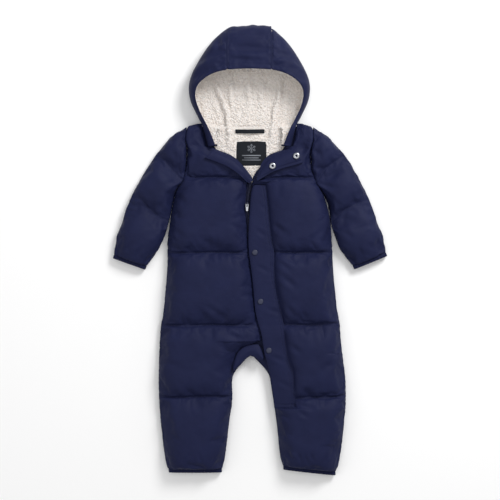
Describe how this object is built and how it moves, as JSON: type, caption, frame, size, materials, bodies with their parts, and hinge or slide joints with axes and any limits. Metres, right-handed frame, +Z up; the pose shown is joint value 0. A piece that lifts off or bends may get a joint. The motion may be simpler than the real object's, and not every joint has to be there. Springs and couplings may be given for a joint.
{
  "type": "baby snowsuit, laid flat",
  "caption": "Hooded padded one-piece suit for a baby, laid flat and open at the neck, with a storm flap over a zip and a pile lining in the hood.",
  "frame": {"origin": "on the floor under the middle of the suit's outline", "axes": "+X to the wearer's left, +Y from the feet to the hood, +Z up from the floor, the way the front faces"},
  "size_m": [0.5206, 0.8555, 0.058],
  "materials": {
    "shell_cloth": "matt woven polyester, navy",
    "binding": "gathered elastic binding, navy",
    "pile_lining": "sherpa pile, off-white",
    "ribbon": "woven ribbon, near black",
    "zip_cloth": "zip tape and coil, navy",
    "snap_cap": "moulded plastic, navy",
    "snap_metal": "nickel plated"
  },
  "bodies": {
    "suit": {"back_right": "shell_cloth", "back_left": "shell_cloth", "front_right": "shell_cloth", "front_left": "shell_cloth", "sleeve_right": "shell_cloth", "sleeve_left": "shell_cloth", "cuff_binding_right": "binding", "cuff_binding_left": "binding", "hem_binding_right": "binding", "hem_binding_left": "binding", "hood_side_right": "shell_cloth", "hood_side_left": "shell_cloth", "hood_centre": "shell_cloth", "hood_lining_right": "pile_lining", "hood_lining_left": "pile_lining", "hood_lining_centre": "pile_lining", "neck_lining": "pile_lining", "neck_label": "ribbon", "hanging_loop": "ribbon", "crotch_gusset": "shell_cloth", "placket_flap": "shell_cloth", "collar_right": "shell_cloth", "collar_left": "shell_cloth", "snap_cap_1": "snap_cap", "snap_cap_2": "snap_cap", "snap_cap_3": "snap_cap", "snap_socket_1": "snap_metal", "snap_socket_2": "snap_metal", "zip_tape": "zip_cloth", "zip_slider": "snap_metal"},
    "zip_pull": {"zip_pull": "snap_metal"}
  },
  "joints": [
    {"name": "pull_hinge", "type": "hinge", "parent": "suit", "child": "zip_pull", "pos_m": [-0.00555, 0.08566, 0.02445], "axis": [-1, 0, 0], "range_deg": [0, 150]}
  ]
}
